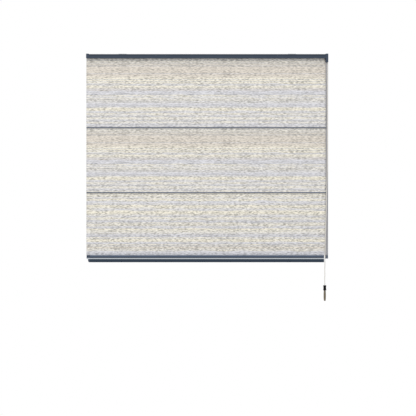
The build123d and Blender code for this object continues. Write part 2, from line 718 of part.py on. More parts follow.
def tassel_knot():
    top, seat = JOINER_TOP, JOINER_END - TASSEL_LENGTH + TASSEL_POCKET - LIE_GAP
    outline = [(0, top), (KNOT_CORD_R, top), (KNOT_CORD_R, seat), (KNOT_R, seat), (KNOT_R, seat - KNOT_HEIGHT)]
    return on_pull(turned(outline + [(0, seat - KNOT_HEIGHT)]))


# All pieces, by the names of their files

pieces = {
    "head_rail": head_rail(),
    "left_end_cap": left_end_cap(),
    "cord_lock_housing": cord_lock_housing(),
    "mounting_bracket_left": mounting_bracket(-BRACKET_SPACING / 2),
    "mounting_bracket_right": mounting_bracket(BRACKET_SPACING / 2),
    "lock_roller": lock_roller(),
    "roller_pin": lock_pin(ROLLER_X, ROLLER_Z),
    "lock_cam": lock_cam(),
    "cam_pin": lock_pin(CAM_X, CAM_Z),
    "top_spline": spline(GROOVE_Z, HEM_LEFT, CLOTH_RIGHT),
    "face_fabric": face_fabric(),
    "lining": lining(),
    "bottom_rail": bottom_rail(),
    "rail_stripe": rail_stripe(),
    "bottom_spline": spline(BOTTOM_GROOVE_Z, BOTTOM_HEM_LEFT, BOTTOM_HEM_RIGHT),
    "ballast_bar": ballast_bar(),
    "bottom_cap_left": bottom_cap_left(),
    "bottom_cap_right": bottom_cap_right(),
    "cord_anchors": cord_anchors(),
    "cord_stops": cord_stops(),
    "pull_cord": pull_cord(),
    "joiner_upper": joiner_half(JOINER_TOP, (JOINER_TOP + JOINER_END) / 2),
    "joiner_lower": joiner_half(JOINER_END, (JOINER_TOP + JOINER_END) / 2),
    "tassel": tassel(),
    "tassel_knot": tassel_knot(),
}
for side in CORD_PLACES:
    pieces[f"cord_guide_{side}"] = at_guide(side) * cord_guide()
    pieces[f"pulley_{side}"] = at_guide(side) * pulley()
    pieces[f"pulley_pin_{side}"] = at_guide(side) * pulley_pin()
    pieces[f"lift_cord_{side}"] = lift_cord(side)
for level, fold in (("upper", FOLD_UPPER), ("lower", FOLD_LOWER)):
    pieces[f"fold_binding_{level}"] = fold_binding(fold)
    pieces[f"rod_pocket_{level}"] = rod_pocket(fold)
    pieces[f"batten_{level}"] = batten(fold)
    pieces[f"cord_rings_{level}"] = cord_rings(fold)

for name, piece in pieces.items():
    export_step(piece, f"parts/{name}.step")
print(len(pieces), "pieces")
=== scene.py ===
# %% [markdown]
# # A roman blind, dressed in Blender
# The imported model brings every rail, pulley and pin of the blind to its place.
# This lesson keeps those hard parts, gives them real finishes, and remakes the soft ones:
# the cords, the slub-weave face cloth, the lining, the fold tapes and the batten pockets.
# The frame comes first, because every soft piece is hung from it by name.

# %% Load the frame
import json
import math
import bpy
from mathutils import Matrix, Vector

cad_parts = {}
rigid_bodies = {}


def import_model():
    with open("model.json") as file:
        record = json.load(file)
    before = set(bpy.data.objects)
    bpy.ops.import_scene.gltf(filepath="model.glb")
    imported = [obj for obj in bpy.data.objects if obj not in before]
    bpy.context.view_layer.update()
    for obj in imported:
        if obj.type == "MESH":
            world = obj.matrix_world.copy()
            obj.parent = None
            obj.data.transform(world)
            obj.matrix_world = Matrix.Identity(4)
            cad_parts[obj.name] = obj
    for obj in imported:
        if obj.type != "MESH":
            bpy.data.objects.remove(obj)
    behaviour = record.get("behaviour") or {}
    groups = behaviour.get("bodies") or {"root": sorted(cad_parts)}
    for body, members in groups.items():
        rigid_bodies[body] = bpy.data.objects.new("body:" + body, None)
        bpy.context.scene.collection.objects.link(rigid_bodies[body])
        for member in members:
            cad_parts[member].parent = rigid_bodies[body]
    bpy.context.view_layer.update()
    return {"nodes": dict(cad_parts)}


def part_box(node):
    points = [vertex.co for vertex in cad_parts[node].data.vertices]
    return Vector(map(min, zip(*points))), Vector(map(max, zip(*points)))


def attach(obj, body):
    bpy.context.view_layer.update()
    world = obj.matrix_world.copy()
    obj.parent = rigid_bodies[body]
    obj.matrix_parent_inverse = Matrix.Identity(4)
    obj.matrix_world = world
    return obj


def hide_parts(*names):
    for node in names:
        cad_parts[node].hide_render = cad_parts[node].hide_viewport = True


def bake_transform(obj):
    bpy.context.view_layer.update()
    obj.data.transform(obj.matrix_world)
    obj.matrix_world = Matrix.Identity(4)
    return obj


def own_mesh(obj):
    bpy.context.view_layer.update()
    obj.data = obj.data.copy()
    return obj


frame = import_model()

nodes = frame["nodes"]

# %% [markdown]
# ## Camera
# The photograph looks straight at the blind, level, from far enough away that no side shows.
# A long lens from six metres does the same. One pixel of the photograph is 3.78 mm at the cloth,
# so the 416 pixel frame is 1.572 m wide there, and that gives the angle of the lens.

# %% Camera
MM = 0.001
PIXEL, FRAME_PIXELS = 3.78 * MM, 416
FRAME_WIDTH = FRAME_PIXELS * PIXEL
# In millimetres: the middle of the frame on the blind, and the cloth's front face
FRAME_X, FRAME_Z = 3.0, -549.6
FRONT = -37.5
CAMERA_DISTANCE = 6.0

camera = bpy.data.objects.new("camera", bpy.data.cameras.new("camera"))
camera.data.angle = 2 * math.atan(FRAME_WIDTH / 2 / CAMERA_DISTANCE)
camera.location = (FRAME_X * MM, FRONT * MM - CAMERA_DISTANCE, FRAME_Z * MM)
camera.rotation_euler = (math.radians(90), 0, 0)
bpy.context.collection.objects.link(camera)
bpy.context.scene.camera = camera
bpy.context.scene.view_settings.view_transform = "Standard"
print(f"lens angle {math.degrees(camera.data.angle):.1f} degrees")

# %% [markdown]
# ## Nodes, colours and materials
# Every finish below is a small tree of shader nodes. One helper adds a node: settings are given
# by name, and each socket gets either a value or the output that feeds it. A second one starts
# a material with its shader, and a third feeds that shader its colour and its bumps.
# Colours are read off as sRGB hex, as a painter's chart gives them, and turned to linear light.

# %% Helpers for materials
def linear(hex_code):
    parts = [int(hex_code[i:i + 2], 16) / 255 for i in (1, 3, 5)]
    return (*[c / 12.92 if c <= 0.04045 else ((c + 0.055) / 1.055) ** 2.4 for c in parts], 1.0)


def add(tree, kind, sockets=None, **settings):
    made = tree.nodes.new("ShaderNode" + kind)
    for name, value in settings.items():
        setattr(made, name, value)
    for name, value in (sockets or {}).items():
        if isinstance(value, bpy.types.NodeSocket):
            tree.links.new(value, made.inputs[name])
        else:
            made.inputs[name].default_value = value
    return made


def finish_named(name, **surface):
    # A socket's name is written with _ in place of its spaces
    material = bpy.data.materials.new(name)
    material.use_nodes = True
    shader = material.node_tree.nodes["Principled BSDF"]
    for socket, value in surface.items():
        shader.inputs[socket.replace("_", " ")].default_value = value
    return material, material.node_tree, shader


def dress(tree, shader, colour, height, strength, distance):
    tree.links.new(colour, shader.inputs["Base Color"])
    relief = add(tree, "Bump", {"Strength": strength, "Distance": distance, "Height": height})
    tree.links.new(relief.outputs[0], shader.inputs["Normal"])


print("navy as linear light:", [round(v, 3) for v in linear("#323d4c")])

# %% [markdown]
# ## Light
# The picture has soft studio light: a bright room all round, and one large soft lamp in front,
# above and a little to the left. That lamp sits high enough for the head rail to drop its
# short soft shadow on the top of the cloth. The world is white to the camera and to reflections,
# and dimmer as a light, so that a colour renders about as it is written.

# %% World and lamp
ROOM_LIGHT = 0.75
LAMP_WATTS, LAMP_SIZE = 145, 2.4
LAMP_PLACE, LAMP_AIM = (-1.7, -4.2, 4.0), (0.05, -0.04, -0.3)

world = bpy.data.worlds.new("white_room")
bpy.context.scene.world = world
world.use_nodes = True
sky = world.node_tree
sky.nodes.clear()
rays = add(sky, "LightPath").outputs
seen = add(sky, "Math", {0: rays["Is Camera Ray"], 1: rays["Is Glossy Ray"]}, operation="MAXIMUM")
seen = add(sky, "Math", {0: seen.outputs[0], 1: rays["Is Transmission Ray"]}, operation="MAXIMUM")
room = add(sky, "Background", {"Color": linear("#ffffff"), "Strength": ROOM_LIGHT})
white = add(sky, "Background", {"Color": linear("#ffffff"), "Strength": 1.0})
both = add(sky, "MixShader", {0: seen.outputs[0], 1: room.outputs[0], 2: white.outputs[0]})
add(sky, "OutputWorld", {"Surface": both.outputs[0]})

lamp = bpy.data.objects.new("soft_lamp", bpy.data.lights.new("soft_lamp", "AREA"))
lamp.data.energy = LAMP_WATTS
lamp.data.size = LAMP_SIZE
lamp.location = LAMP_PLACE
lamp.rotation_euler = (Vector(LAMP_AIM) - lamp.location).to_track_quat("-Z", "Y").to_euler()
bpy.context.collection.objects.link(lamp)
print(f"room at {ROOM_LIGHT}, lamp of {LAMP_WATTS} W at {LAMP_PLACE}")

# %% [markdown]
# ## Floor
# A blind hangs about two metres above the floor, so a pale painted floor lies that far down.
# The camera does not see it from the front, but the other views do, and it throws light up.
# A camera that goes below it looks through it: a face seen from behind is made clear.

# %% Floor
FLOOR_Z, FLOOR_HALF = -2.1, 4.0


def mesh_piece(name, points, faces, material, uvs=None):
    mesh = bpy.data.meshes.new(name)
    mesh.from_pydata(points, [], faces)
    mesh.polygons.foreach_set("use_smooth", [True] * len(faces))
    if uvs:
        layer = mesh.uv_layers.new(name="cloth")
        corner = [0] * len(mesh.loops)
        mesh.loops.foreach_get("vertex_index", corner)
        layer.data.foreach_set("uv", [value for i in corner for value in uvs[i]])
    mesh.materials.append(material)
    piece = bpy.data.objects.new(name, mesh)
    bpy.context.collection.objects.link(piece)
    return piece


# Paint on boards: a flat pale tone with faint clouds just under a metre across
floor_paint, tree, shader = finish_named("painted_floor", Roughness=0.7)
cloud = add(tree, "TexNoise", {"Scale": 1.2, "Detail": 3.0})
tone = add(tree, "Mix", {0: cloud.outputs[0], 6: linear("#eeece8"), 7: linear("#f5f4f1")}, data_type="RGBA")
tree.links.new(tone.outputs[2], shader.inputs["Base Color"])
from_below, clear = add(tree, "NewGeometry").outputs["Backfacing"], add(tree, "BsdfTransparent").outputs[0]
one_sided = add(tree, "MixShader", {0: from_below, 1: shader.outputs[0], 2: clear})
tree.links.new(one_sided.outputs[0], tree.nodes["Material Output"].inputs["Surface"])
corners = [(x * FLOOR_HALF, y * FLOOR_HALF, FLOOR_Z) for x, y in ((-1, -1), (1, -1), (1, 1), (-1, 1))]
floor = mesh_piece("floor", corners, [(0, 1, 2, 3)], floor_paint)
print(f"floor at {FLOOR_Z} m")

# %% [markdown]
# ## Cord finish
# Blind cord is braided polyester: sixteen fine yarns plaited round a core, off-white and slightly
# shiny. Each yarn is about 0.5 mm wide, far too fine for the picture, so the plait is drawn
# at 1.2 mm. Two sets of slanting waves crossing each other give the braid's diamonds.

# %% Braided polyester
BRAID, BRAID_SLANT = 1.2 * MM, 0.7
# A wave texture at scale 1 repeats every 0.314 m
WAVE_UNIT = 0.314


def slanted_waves(tree, place, slant):
    turned = add(tree, "Mapping", {"Vector": place, "Rotation": (0, 0, slant)}).outputs[0]
    waves = add(tree, "TexWave", {"Vector": turned, "Scale": WAVE_UNIT / BRAID}, bands_direction="X")
    return waves.outputs[1]


# Off-white with a soft sheen; the braid's hollows are painted a little darker as shade
braid, tree, shader = finish_named("braided_polyester", Roughness=0.6, Sheen_Weight=0.3, IOR=1.53)
place = add(tree, "TexCoord").outputs["UV"]
lays = [slanted_waves(tree, place, slant) for slant in (BRAID_SLANT, -BRAID_SLANT)]
plait = add(tree, "Math", {0: lays[0], 1: lays[1]}, operation="MAXIMUM")
colour = add(tree, "Mix", {0: plait.outputs[0], 6: linear("#bdb8b2"), 7: linear("#e4e1dc")}, data_type="RGBA")
dress(tree, shader, colour.outputs[2], plait.outputs[0], strength=0.5, distance=0.2 * MM)
print(f"braid drawn every {BRAID / MM:.1f} mm")

# %% [markdown]
# ## Pull cord
# The three lift cords leave the lock together and hang to the joiner. The route has the model's
# eight points, five of them moved sideways by less than 2 mm to hang as in the photograph.
# A NURBS curve with those control points hangs as smoothly as a cord does, and the three
# strands are then laid round the line that it gives. Bevelling the curve would be simpler,
# but three strands show what the real pull is made of.

# %% Line of a cord
def box_mm(node):
    # A node's lowest and highest corners in millimetres, to the micrometre
    return [[round(v / MM, 3) for v in corner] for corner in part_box(node)]


def cord_line(name, points):
    curve = bpy.data.curves.new(name, "CURVE")
    curve.dimensions = "3D"
    curve.resolution_u = 24
    spline = curve.splines.new("NURBS")
    spline.points.add(len(points) - 1)
    for point, place in zip(spline.points, points):
        point.co = (*[v * MM for v in place], 1)
    spline.order_u = 3
    spline.use_endpoint_u = True
    holder = bpy.data.objects.new(name, curve)
    bpy.context.collection.objects.link(holder)
    drawn = bpy.data.meshes.new_from_object(holder)
    line = [vertex.co.copy() for vertex in drawn.vertices]
    for thing, store in ((holder, bpy.data.objects), (curve, bpy.data.curves), (drawn, bpy.data.meshes)):
        store.remove(thing)
    return line


def run_along(line):
    total, runs = 0, [0]
    for a, b in zip(line, line[1:]):
        total += (b - a).length
        runs.append(total)
    return runs


print("head rail from", *box_mm("head_rail"), "mm")

# %% Pull cord's line
LOCK_X, LOCK_Y = 453.5, -42.9
LOCK_EXIT, JOINER_TOP = box_mm("cord_lock_housing")[0][2], box_mm("joiner_upper")[1][2]
PULL_ROUTE = [
    (LOCK_X, LOCK_EXIT), (454.6, -150), (454.6, -310), (452.6, -444),
    (449.4, -565), (446.2, -671), (444.2, -758), (443.9, JOINER_TOP),
]
pull_line = cord_line("pull_line", [(x, LOCK_Y, z) for x, z in PULL_ROUTE])
print(f"pull cord {run_along(pull_line)[-1]:.3f} m long, {len(pull_line)} points on its line")

# %% Strands round a line
SIDES = 8


def tube_faces(first, rings, sides):
    # The walls and two ends of a tube whose rings of points begin at the point numbered first
    faces = []
    for i in range(rings - 1):
        low, high = first + i * sides, first + (i + 1) * sides
        for k in range(sides):
            nxt = (k + 1) % sides
            faces.append((low + k, low + nxt, high + nxt, high + k))
    last = first + (rings - 1) * sides
    return faces + [tuple(reversed(range(first, first + sides))), tuple(range(last, last + sides))]


def strands(name, line, radius, count=1, off=0, pitch=1):
    # Strands laid round a line at the distance off, one turn in each pitch
    points, faces, uvs = [], [], []
    runs = run_along(line)
    ways = [(b - a).normalized() for a, b in zip([line[0]] + line[:-1], line[1:] + [line[-1]])]
    ways[0], ways[-1] = (line[1] - line[0]).normalized(), (line[-1] - line[-2]).normalized()
    for strand in range(count):
        side = ways[0].orthogonal().normalized()
        for i, (middle, way) in enumerate(zip(line, ways)):
            side = (side - way * side.dot(way)).normalized()
            across = way.cross(side)
            lay = math.tau * (strand / count + runs[i] / pitch)
            middle = middle + (side * math.cos(lay) + across * math.sin(lay)) * off
            for k in range(SIDES):
                turn = math.tau * k / SIDES
                points.append(middle + (side * math.cos(turn) + across * math.sin(turn)) * radius)
                uvs.append((radius * turn, runs[i]))
        faces += tube_faces(strand * len(line) * SIDES, len(line), SIDES)
    return mesh_piece(name, points, faces, braid, uvs)


print(f"a strand of 2 rings has {len(tube_faces(0, 2, SIDES))} faces")

# %% Pull cord
PULL_DIAMETER, PULL_LAY = 3.4 * MM, 110 * MM
STRAND_R = PULL_DIAMETER / 2 / (1 + 2 / math.sqrt(3))
pull_cord = strands("pull_cord_strands", pull_line, STRAND_R, 3, 2 * STRAND_R / math.sqrt(3), PULL_LAY)
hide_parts("pull_cord")
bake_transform(pull_cord)
print(f"three strands of {2 * STRAND_R / MM:.2f} mm")

# %% [markdown]
# ## Pull's knot
# The cords end in a knot inside the wooden pull, seen only from below. A trefoil is the plainest
# knot that a closed line can make, so the thread follows one, pulled down small.

# %% Knot
KNOT_Z, KNOT_R, KNOT_THREAD, KNOT_WIDE, KNOT_TALL, KNOT_STEPS = -895.0, 0.62, 0.45, 0.8, 1.6, 36
KNOT_MIDDLE = Vector((PULL_ROUTE[-1][0], LOCK_Y, KNOT_Z))
knot_points = []
for i in range(KNOT_STEPS + 1):
    t = math.tau * i / KNOT_STEPS
    x, y, z = math.sin(t) + 2 * math.sin(2 * t), math.cos(t) - 2 * math.cos(2 * t), -math.sin(3 * t)
    reach = (x * KNOT_R * KNOT_WIDE, y * KNOT_R * KNOT_WIDE, z * KNOT_R * KNOT_TALL)
    knot_points.append(KNOT_MIDDLE + Vector(reach))
knot = strands("tassel_knot_thread", [p * MM for p in knot_points], KNOT_THREAD * MM)
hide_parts("tassel_knot")
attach(knot, "pull")
print("pull cord with its joiner, pull and knot")

# %% [markdown]
# ## Lift cords
# Each lift cord is tied to the bottom rail, goes up behind the cloth through the rings, over its
# guide pulley in the head rail, and along the rail to the lock. It is made in two lengths.
# The run in the rail stays still. The drop shortens as the blind rises, because the real cord
# slides away into the rail.
# Points several diameters either side of a pulley keep the cord straight up to it.

# %% Lift cords
CORD_R, CORD_Y, RUN_Z = 0.7, -20.0, 28.6
RAIL_BOTTOM, CORD_END = box_mm("head_rail")[0][2], box_mm("lift_cord_left")[0][2]
PULLEY_EASE, ROLLER_EASE, END_EASE = 11.0, 7.4, 8.0
DROP_HEIGHTS = (RAIL_BOTTOM, 0, -370, CORD_END + END_EASE, CORD_END)
# Each cord's place along the rail, and how far it lies from the middle cord in the lock
CORD_PLACES = {"left": (-350, -1.8), "middle": (0, 0), "right": (300, 1.8)}

for side, (x, shift) in CORD_PLACES.items():
    over, end = Vector((x, CORD_Y, RUN_Z)), Vector((LOCK_X, LOCK_Y + shift, RUN_Z))
    along = (end - over).normalized()
    run_points = [
        (x, CORD_Y, RAIL_BOTTOM), (x, CORD_Y, RUN_Z - PULLEY_EASE), over, over + along * PULLEY_EASE,
        end - along * ROLLER_EASE, end, (end.x, end.y, RUN_Z - ROLLER_EASE), (end.x, end.y, LOCK_EXIT),
    ]
    run_line = cord_line("run_line", run_points)
    run = strands(f"lift_cord_{side}_run", run_line, CORD_R * MM)
    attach(run, "headrail")
    drop_line = cord_line("drop_line", [(x, CORD_Y, z) for z in DROP_HEIGHTS])
    drop = strands(f"lift_cord_{side}_drop", drop_line, CORD_R * MM)
    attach(drop, "headrail")
    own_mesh(drop)
    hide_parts(f"lift_cord_{side}")
    for piece, line in ((run, run_line), (drop, drop_line)):
        run_along(line)[-1]
    print(f"{side}: run {run_along(run_line)[-1]:.3f} m, drop {run_along(drop_line)[-1]:.3f} m")

# %% [markdown]
# ## Slub weave
# The face cloth is woven from slubbed yarn, thick in places and thin in others, in four
# colours: cream, oat, taupe and a lavender grey. The weaver changes yarn from row to row in two
# plans of 261 mm, one with wider bands and one with narrow ones, so the cloth shows soft stripes
# broken by short streaks. Each plan is a colour ramp along the cloth, and its alpha says how
# rough that yarn is. The streaks are noise stretched along the yarn: a slub is about
# 20 mm long and one to three millimetres thick. The pattern follows the cloth's own length, not the
# room, so it gathers with the cloth when the blind is raised.

# %% Yarns and their plans
# The cream yarn is the one with most flecks, the grey is the smoothest, and the narrow stripes
# are woven rougher than the wide ones
CREAM, OAT = (*linear("#e1dccd")[:3], 1.22), (*linear("#d1cac0")[:3], 0.93)
TAUPE, GREY = (*linear("#c7c2b9")[:3], 0.93), (*linear("#cdcdd2")[:3], 0.68)
NARROW_ROUGH = 1.25
REPEAT = 260.8 * MM
# The cream that closes the banded plan lies at the top of each panel, just under the head rail and the folds.
# It is partly the yarn's colour and partly painted light that thins the shadow there
BANDED_PLAN = [
    (0, CREAM), (5, TAUPE), (11, TAUPE), (22, OAT), (57, OAT), (66, CREAM), (72, CREAM),
    (81, CREAM), (87, GREY), (95, CREAM), (98, CREAM), (104, OAT), (113, GREY), (125, GREY),
    (129, CREAM), (134, GREY), (144, CREAM), (161, GREY), (170, GREY), (176, CREAM), (185, CREAM),
    (191, GREY), (198, CREAM), (206, GREY), (214, CREAM), (223, GREY), (231, CREAM), (236, GREY),
    (243, GREY), (249, CREAM),
]
NARROW_PLAN = [
    (6, CREAM), (10, GREY), (15, CREAM), (19, CREAM), (23, GREY), (29, GREY), (39, CREAM),
    (43, CREAM), (54, GREY), (61, CREAM), (71, CREAM), (79, GREY), (87, CREAM), (95, GREY),
    (99, GREY), (105, CREAM), (113, CREAM), (118, GREY), (122, GREY), (126, CREAM), (132, CREAM),
    (150, GREY), (156, GREY), (162, CREAM), (173, CREAM), (178, GREY), (182, GREY), (187, CREAM),
    (196, OAT), (201, CREAM), (205, CREAM), (212, GREY),
]


def colour_ramp(tree, place, stops):
    ramp = add(tree, "ValToRGB", {0: place})
    while len(ramp.color_ramp.elements) < len(stops):
        ramp.color_ramp.elements.new(1.0)
    for element, (position, colour) in zip(ramp.color_ramp.elements, stops):
        element.position, element.color = position, colour
    return ramp


def yarn_stops(plan, rougher):
    return [(stop * MM / REPEAT, (*yarn[:3], yarn[3] * rougher)) for stop, yarn in plan]


print(f"{len(BANDED_PLAN) + len(NARROW_PLAN)} changes of yarn in two plans of {REPEAT / MM:.0f} mm")

# %% Slub weave
# Each weft is drawn 3.7 mm thick, coarser than the real 1.2 mm so that it shows, with its own slubs:
# long ones of 75 mm, common ones of 20 mm and flecks of 11 mm
WEFT = 3.7 * MM
LONG_SLUB, SLUB, FLECK = (75 * MM, 3.0 * MM), (20 * MM, 2.6 * MM), (11 * MM, 2.1 * MM)
# No two wefts have the same slubs, because each is slid along by its own share of this length
WEFT_SLIDE = 0.9


def streaks(tree, place, size, seed):
    # Noise stretched to the streaks' length along the yarn and their thickness across it
    scale, start = (1 / size[0], 1 / size[1], 1), (seed, seed, 0)
    stretched = add(tree, "Mapping", {"Vector": place, "Scale": scale, "Location": start}).outputs[0]
    noise = {"Vector": stretched, "Scale": 1.0, "Detail": 1.0}
    return add(tree, "TexNoise", noise, noise_dimensions="2D").outputs[0]


# Dull, soft and uneven: linen and cotton yarn scatter light, so it is rough with a faint sheen
slub_weave, tree, shader = finish_named("slub_weave_linen_cotton", Roughness=0.92, Sheen_Weight=0.1, IOR=1.5)
place = add(tree, "TexCoord").outputs["UV"]
across = add(tree, "SeparateXYZ", {0: place})
weft = add(tree, "Math", {0: across.outputs["Y"], 1: WEFT}, operation="DIVIDE")
weft = add(tree, "Math", {0: weft.outputs[0]}, operation="FLOOR")
chance = add(tree, "TexWhiteNoise", {"W": weft.outputs[0]}, noise_dimensions="1D").outputs["Value"]
slide = add(tree, "Math", {0: chance, 1: WEFT_SLIDE, 2: across.outputs["X"]}, operation="MULTIPLY_ADD")
own = add(tree, "CombineXYZ", {"X": slide.outputs[0], "Y": across.outputs["Y"]}).outputs[0]
long_slub = streaks(tree, own, LONG_SLUB, seed=3)
slub = streaks(tree, own, SLUB, seed=7)
fleck = streaks(tree, own, FLECK, seed=11)
print(f"wefts {WEFT / MM:.1f} mm thick, slubs {SLUB[0] / MM:.0f} mm long")

# %% Slub weave's colour
# Each weft strays from the plan by a few millimetres, and each long slub by more, so that
# neighbouring yarns show through one another and the stripes have no hard edge
WEFT_STRAY, SLUB_STRAY = 3 * MM, 16 * MM
even = -(SLUB_STRAY + WEFT_STRAY) / 2
stray = add(tree, "Math", {0: long_slub, 1: SLUB_STRAY, 2: even}, operation="MULTIPLY_ADD")
stray = add(tree, "Math", {0: chance, 1: WEFT_STRAY, 2: stray.outputs[0]}, operation="MULTIPLY_ADD")
stray = add(tree, "Math", {0: stray.outputs[0], 1: across.outputs["Y"]}, operation="ADD")
repeats = add(tree, "Math", {0: stray.outputs[0], 1: REPEAT}, operation="DIVIDE")
within = add(tree, "Math", {0: repeats.outputs[0]}, operation="FRACT").outputs[0]
second = add(tree, "Math", {0: repeats.outputs[0], 1: 1.0}, operation="GREATER_THAN").outputs[0]
banded = colour_ramp(tree, within, yarn_stops(BANDED_PLAN, 1))
narrow = colour_ramp(tree, within, yarn_stops(NARROW_PLAN, NARROW_ROUGH))
plan = add(tree, "Mix", {0: second, 6: banded.outputs[0], 7: narrow.outputs[0]}, data_type="RGBA").outputs[2]
rough = add(tree, "Mix", {0: second, 2: banded.outputs[1], 3: narrow.outputs[1]}).outputs[0]

# About three wefts in ten carry some of the grey, whatever the plan says
LONE, LONE_END, LONE_SHARE = 0.2, 0.32, 0.5
lone = add(tree, "MapRange", {0: chance, 1: LONE, 2: LONE_END, 3: LONE_SHARE, 4: 0.0}).outputs[0]
plan = add(tree, "Mix", {0: lone, 6: plan, 7: (*GREY[:3], 1.0)}, data_type="RGBA").outputs[2]
print(f"slubs stray by up to {SLUB_STRAY / 2 / MM:.0f} mm")

# %% Slub weave's light and dark
# How far each kind of streak lightens or darkens the yarn about its middle, and the soft limits
# that keep the palest flecks from turning white and the dark ones from looking like holes
FLECK_DEPTH, SLUB_DEPTH, LONG_DEPTH, WEFT_DEPTH, MIDDLE = 1.95, 1.0, 0.85, 0.22, 1.03
DARKEST, PALEST, SOFTEN = 0.5, 1.25, 0.3
depth = -(FLECK_DEPTH + SLUB_DEPTH) / 2
for streak, amount in ((fleck, FLECK_DEPTH), (slub, SLUB_DEPTH)):
    depth = add(tree, "Math", {0: streak, 1: amount, 2: depth}, operation="MULTIPLY_ADD").outputs[0]
level = MIDDLE - (LONG_DEPTH + WEFT_DEPTH) / 2
depth = add(tree, "Math", {0: depth, 1: rough, 2: level}, operation="MULTIPLY_ADD").outputs[0]
for streak, amount in ((long_slub, LONG_DEPTH), (chance, WEFT_DEPTH)):
    depth = add(tree, "Math", {0: streak, 1: amount, 2: depth}, operation="MULTIPLY_ADD").outputs[0]
depth = add(tree, "Math", {0: depth, 1: PALEST, 2: SOFTEN}, operation="SMOOTH_MIN").outputs[0]
depth = add(tree, "Math", {0: depth, 1: DARKEST, 2: SOFTEN}, operation="SMOOTH_MAX").outputs[0]
yarn = add(tree, "VectorMath", {0: plan, "Scale": depth}, operation="SCALE")
dress(tree, shader, yarn.outputs[0], depth, strength=0.3, distance=0.8 * MM)
print(f"yarn kept between about {DARKEST} and {PALEST} of its colour")

# %% [markdown]
# ## Face cloth
# The face cloth hangs from the head rail in three panels. The upper two lean forward by three
# millimetres to the fold, where the cloth turns back to the panel below, and the weave's
# thick rows make ridges 8 mm apart. Its top right corner is notched for the cord lock's tab.
# A cloth simulation would lose those rows, so the cloth is drawn as rows of points down
# its section, each row swept across its width, with a front and a back.

# %% Rows of the face cloth
(CLOTH_LEFT, _, _), (NOTCH_RIGHT, _, _) = box_mm("face_fabric")
# Below the notch the cloth reaches a little past its solid
CLOTH_PAST, CLOTH_THICK, NOTCH_END = 2.3, 1.2, -1.0
CLOTH_RIGHT = NOTCH_RIGHT + CLOTH_PAST
# Each fold is at the middle height of its batten pocket
FOLD_NAMES = ("upper", "lower")
FOLDS = [sum(corner[2] for corner in box_mm(f"rod_pocket_{name}")) / 2 for name in FOLD_NAMES]
BAR_TOP = box_mm("bottom_rail")[1][2]
FOLD_DEPTH, TAPE = 3.0, 2.8
RIDGE, RIDGE_HEIGHT, RIDGE_SHARES = 8.0, 0.6, (1.0, 0.55, 0.8, 0.4, 0.9, 0.65, 0.35)
# Ridges leave a panel's top and end flat, and fade in and out beside them
ROWS_A_RIDGE, FLAT_TOP, FLAT_END, FADE = 4, 5.0, 13.0, 9.0
# Where in the yarn plans each panel begins
PATTERN_STARTS = (-11.8, -7.4, 253.4)


def panel_rows(start, end, pattern):
    # Rows (front y, back y, z, place in the yarn plan, how free the cloth is) from start down to end
    length = math.dist(start, end)
    count = round(length / RIDGE)
    rows = []
    for step in range(count * ROWS_A_RIDGE + 1):
        share, within = step / (count * ROWS_A_RIDGE), step % ROWS_A_RIDGE / ROWS_A_RIDGE
        fade = min((length * share - FLAT_TOP) / FADE, (length * (1 - share) - FLAT_END) / FADE)
        fade = max(0, min(1, fade))
        peak = RIDGE_HEIGHT * RIDGE_SHARES[step // ROWS_A_RIDGE % len(RIDGE_SHARES)]
        height = peak * 4 * within * (1 - within)
        y = start[0] + (end[0] - start[0]) * share
        z = start[1] + (end[1] - start[1]) * share
        free = math.sin(math.pi * share) * fade
        rows.append((y - height * fade, y + CLOTH_THICK, z, pattern + length * share, free))
    return rows


cloth_rows, start = [], RAIL_BOTTOM
nose = FRONT - FOLD_DEPTH
for fold, pattern in zip(FOLDS, PATTERN_STARTS):
    rows = panel_rows((FRONT, start), (nose, fold + TAPE), pattern)
    at = rows[-1][3]
    cloth_rows += rows
    cloth_rows.append((nose, nose + CLOTH_THICK, fold, at + TAPE, 0))
    cloth_rows.append((FRONT, FRONT + CLOTH_THICK, fold, at + TAPE + FOLD_DEPTH, 0))
    start = fold - TAPE
cloth_rows += panel_rows((FRONT, start), (FRONT, BAR_TOP), PATTERN_STARTS[2])
print(f"{len(cloth_rows)} rows of cloth")

# %% Faces and waves of a sheet
# Two ripples about 260 and 610 mm long: width and height for one radian, start, and share
RIPPLES = ((41, 300, 0.0, 0.6), (97, -140, 1.3, 0.4))


def wave(x, z):
    # The faint waviness of hung cloth, from -1 to 1
    return sum(math.sin(x / wide + z / tall + start) * share for wide, tall, start, share in RIPPLES)


def sheet_faces(rows, columns):
    # The front, the back and the rim round both; rows and columns run down and across
    across = columns + 1
    faces, back = [], rows * across
    for r in range(rows - 1):
        for c in range(columns):
            a, b = r * across + c, (r + 1) * across + c
            faces.append((a, b, b + 1, a + 1))
            faces.append((back + a + 1, back + b + 1, back + b, back + a))
    rim = [(0, c) for c in range(columns)] + [(r, columns) for r in range(rows - 1)]
    rim += [(rows - 1, c) for c in range(columns, 0, -1)] + [(r, 0) for r in range(rows - 1, 0, -1)]
    rim = [r * across + c for r, c in rim]
    for a, b in zip(rim, rim[1:] + rim[:1]):
        faces.append((a, b, back + b, back + a))
    return faces


print(f"a sheet of 2 by 2 points has {len(sheet_faces(2, 1))} faces")

# %% Face cloth
COLUMNS = 112
WAVE = 0.35
front_points, back_points, uvs = [], [], []
for y_front, y_back, z, pattern, free in cloth_rows:
    right = NOTCH_RIGHT if z > NOTCH_END else CLOTH_RIGHT
    for c in range(COLUMNS + 1):
        x = CLOTH_LEFT + (right - CLOTH_LEFT) * c / COLUMNS
        front_points.append(Vector((x, y_front - WAVE * free * (1 + wave(x, z)), z)) * MM)
        back_points.append(Vector((x, y_back, z)) * MM)
        uvs.append((x * MM, pattern * MM))
faces = sheet_faces(len(cloth_rows), COLUMNS)
face_cloth = mesh_piece("face_cloth", front_points + back_points, faces, slub_weave, uvs * 2)
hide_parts("face_fabric")
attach(face_cloth, "headrail")
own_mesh(face_cloth)

